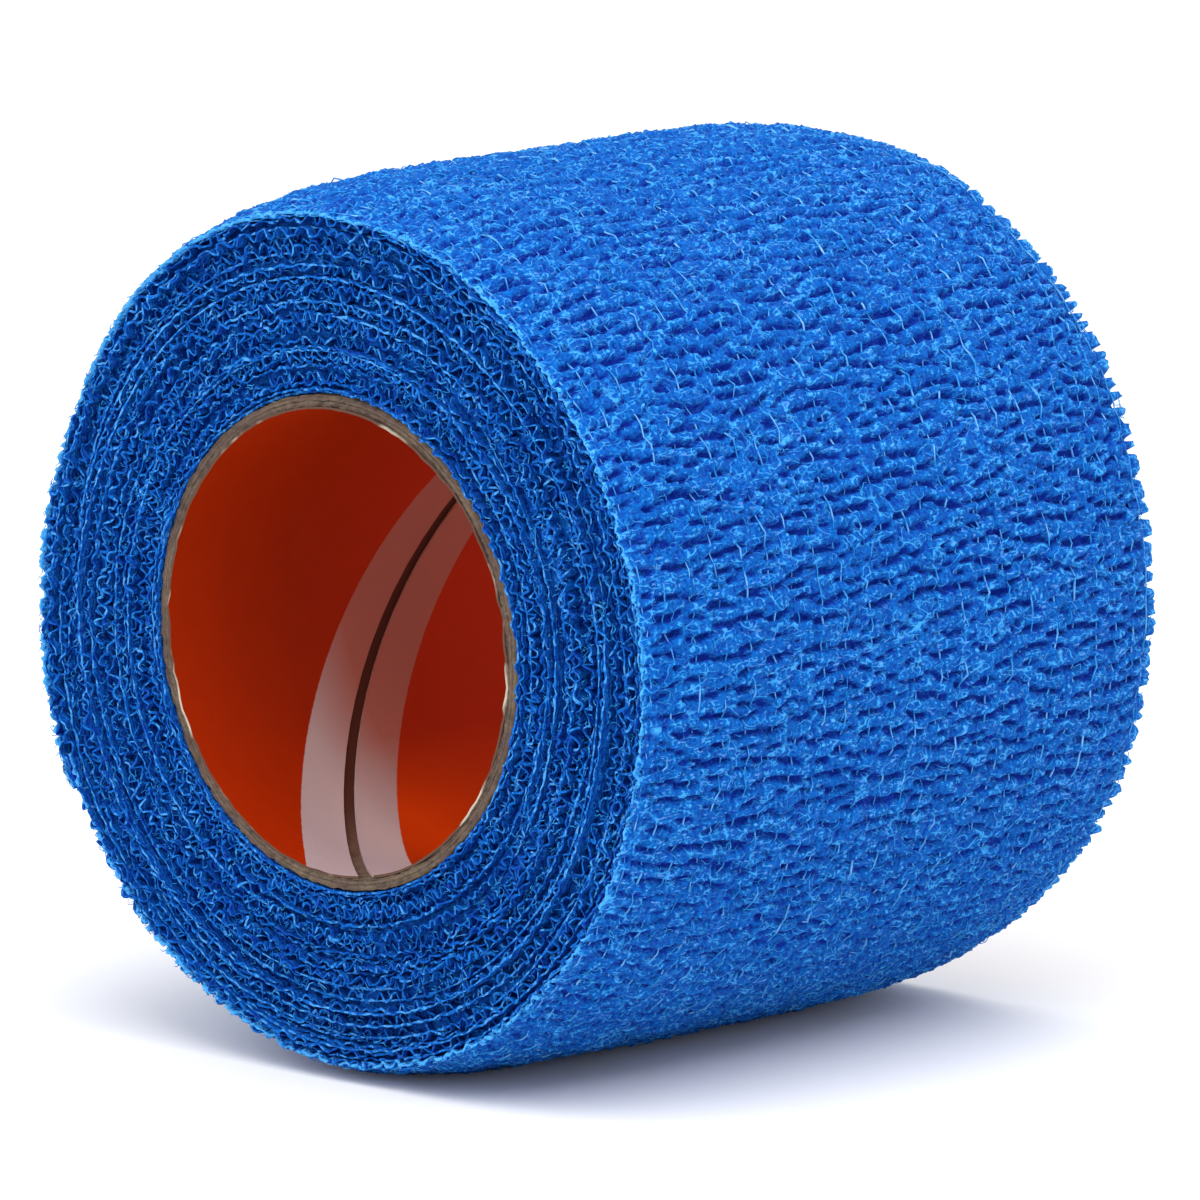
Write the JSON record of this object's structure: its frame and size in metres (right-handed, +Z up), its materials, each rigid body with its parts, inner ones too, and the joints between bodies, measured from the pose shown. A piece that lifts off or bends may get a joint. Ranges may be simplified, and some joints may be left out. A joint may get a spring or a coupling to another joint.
{
  "type": "cohesive bandage roll",
  "caption": "Blue crinkled cohesive bandage wound on a short paper tube with a printed orange lining, lying on its side.",
  "frame": {"origin": "middle of the resting flat, under the middle of the roll's box", "axes": "+Z up; the roll's axis runs along Y; the front end face, the one the picture shows, faces -Y"},
  "size_m": [0.0604, 0.05, 0.0607],
  "materials": {
    "crepe": "matte crinkled non-woven with elastic threads",
    "board": "matte grey-brown board",
    "lining": "matte orange print with bare paper edges"
  },
  "bodies": {
    "root": {"bandage_winding": "crepe", "core_board": "board", "core_lining": "lining"}
  },
  "joints": []
}
